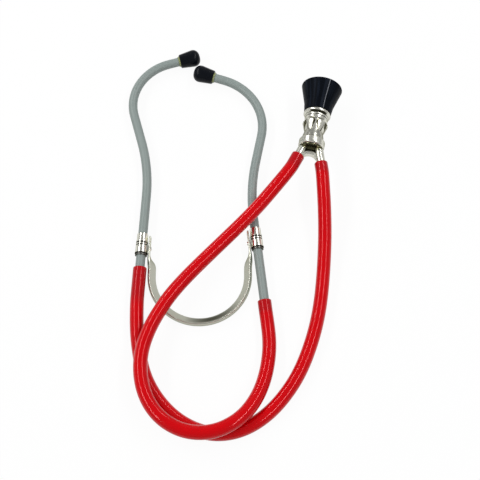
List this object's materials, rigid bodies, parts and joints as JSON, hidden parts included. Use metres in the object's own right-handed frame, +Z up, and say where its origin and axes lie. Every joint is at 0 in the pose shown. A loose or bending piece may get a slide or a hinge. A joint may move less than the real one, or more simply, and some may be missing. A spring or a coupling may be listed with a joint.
{
  "type": "toy stethoscope",
  "caption": "Toy stethoscope: bent metal ear tubes on a sprung yoke, red hoses, and a bell head that turns on a Y fitting.",
  "frame": {"origin": "centre of the footprint on the table, measured without the hoses", "axes": "+Y towards the ear tips, +X to the side where the bell lies, +Z up from the table"},
  "size_m": [0.1456, 0.2728, 0.0275],
  "materials": {
    "tube_metal": "satin",
    "spring_steel": "polished",
    "bright_metal": "polished",
    "small_metal": "satin",
    "red_hose": "glossy",
    "black_soft": "satin",
    "black_hard": "satin",
    "olive_plastic": "satin",
    "white_plastic": "matte",
    "seal_rubber": "matte"
  },
  "bodies": {
    "root": {"yoke_spring": "spring_steel", "right_sleeve": "bright_metal", "right_rivet": "bright_metal", "left_hose": "red_hose", "right_hose": "red_hose", "y_fitting": "bright_metal", "swivel_washer": "white_plastic", "stem_clip": "small_metal", "stem_ring": "seal_rubber"},
    "left_arm": {"left_sleeve": "bright_metal", "left_rivet": "bright_metal"},
    "left_ear": {"left_ear_tube": "tube_metal", "left_stop_collar": "bright_metal", "left_snap_ring": "small_metal", "left_tip_adaptor": "olive_plastic", "left_ear_tip": "black_soft"},
    "right_ear": {"right_ear_tube": "tube_metal", "right_stop_collar": "bright_metal", "right_snap_ring": "small_metal", "right_tip_adaptor": "olive_plastic", "right_ear_tip": "black_soft"},
    "head": {"bell": "black_hard", "bell_seal": "seal_rubber", "bell_collar": "bright_metal", "barrel": "bright_metal", "swivel_nut": "bright_metal"}
  },
  "joints": [
    {"name": "spring_open", "type": "hinge", "parent": "root", "child": "left_arm", "pos_m": [-0.0226, -0.098, 0], "axis": [0, 0, 1], "range_deg": [0, 35], "stiffness_Nm_per_rad": 0.3, "deforming": ["yoke_spring", "left_hose"]},
    {"name": "left_ear_turn", "type": "hinge", "parent": "left_arm", "child": "left_ear", "pos_m": [-0.0599, -0.0452, 0.0049], "axis": [0.0436, 0.999, 0.0064], "range_deg": [-25, 25]},
    {"name": "right_ear_turn", "type": "hinge", "parent": "root", "child": "right_ear", "pos_m": [0.0133, -0.0411, 0.0049], "axis": [-0.1149, 0.9933, 0.0071], "range_deg": [-25, 25]},
    {"name": "head_turn", "type": "hinge", "parent": "root", "child": "head", "pos_m": [0.0497, 0.0178, 0.01624], "axis": [0.1906, 0.9803, -0.0523], "continuous": true}
  ]
}
